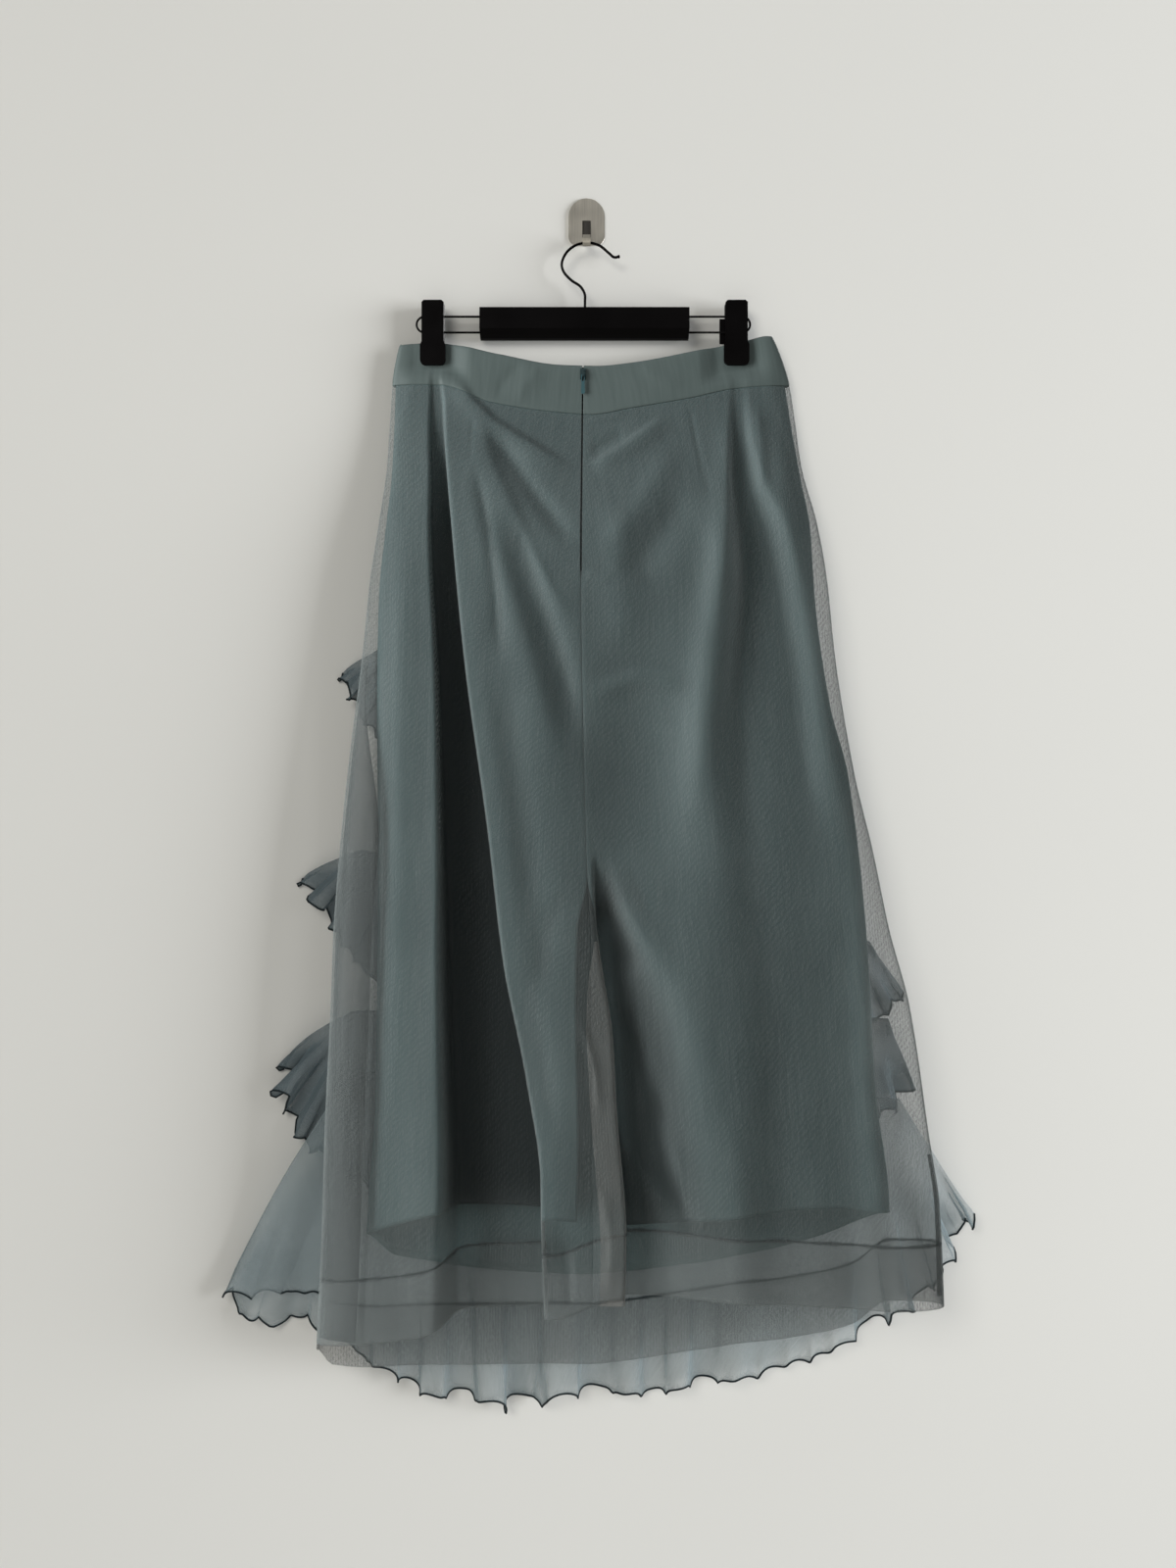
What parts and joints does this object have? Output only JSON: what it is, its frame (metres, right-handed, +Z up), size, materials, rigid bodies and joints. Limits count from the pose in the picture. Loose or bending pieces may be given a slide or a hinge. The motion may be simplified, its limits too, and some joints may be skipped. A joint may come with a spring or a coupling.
{
  "type": "silk midi skirt on clip hanger with wall hook",
  "caption": "Hollow A-line midi skirt with a sheer overlay, lining, waistband, back zip and fluted front flounces, held by a clip hanger on a small wall hook.",
  "frame": {"origin": "centre of the round head of the wall plate, on the plate's back face, where it sits on the wall", "axes": "+Z up, +X to the right seen from the room, +Y into the wall; the skirt hangs back side out at y < 0"},
  "size_m": [0.6926, 0.0913, 1.1185],
  "materials": {
    "overlay": "sheer fine net",
    "lining": "satin silk",
    "band": "net over satin",
    "flounce": "crinkled chiffon with a dark rolled edge",
    "zip_tape": "woven tape and coil",
    "zip_slider": "satin lacquer",
    "zip_pull": "satin lacquer",
    "plate": "brushed",
    "hanger_bar": "satin black",
    "hanger_wire": "black lacquer",
    "clip": "satin black"
  },
  "bodies": {
    "skirt": {"band_front": "band", "band_back_left": "band", "band_back_right": "band", "overlay_front": "overlay", "overlay_back_left": "overlay", "overlay_back_right": "overlay", "lining_front": "lining", "lining_back_left": "lining", "lining_back_right": "lining", "flounce_upper": "flounce", "flounce_middle": "flounce", "flounce_lower": "flounce", "flounce_hem": "flounce", "zip_tape": "zip_tape", "zip_slider": "zip_slider", "wall_plate": "plate", "hanger_hook": "hanger_wire", "hanger_bar": "hanger_bar", "hanger_wire_left": "hanger_wire", "hanger_wire_right": "hanger_wire", "clip_left_front": "clip", "clip_left_back": "clip", "clip_right_front": "clip", "clip_right_back": "clip"},
    "zip_pull": {"zip_pull": "zip_pull"}
  },
  "joints": [
    {"name": "pull_swing", "type": "hinge", "parent": "skirt", "child": "zip_pull", "pos_m": [-0.00333, -0.02425, -0.1553], "axis": [-1, 0, 0], "range_deg": [0, 170]}
  ]
}
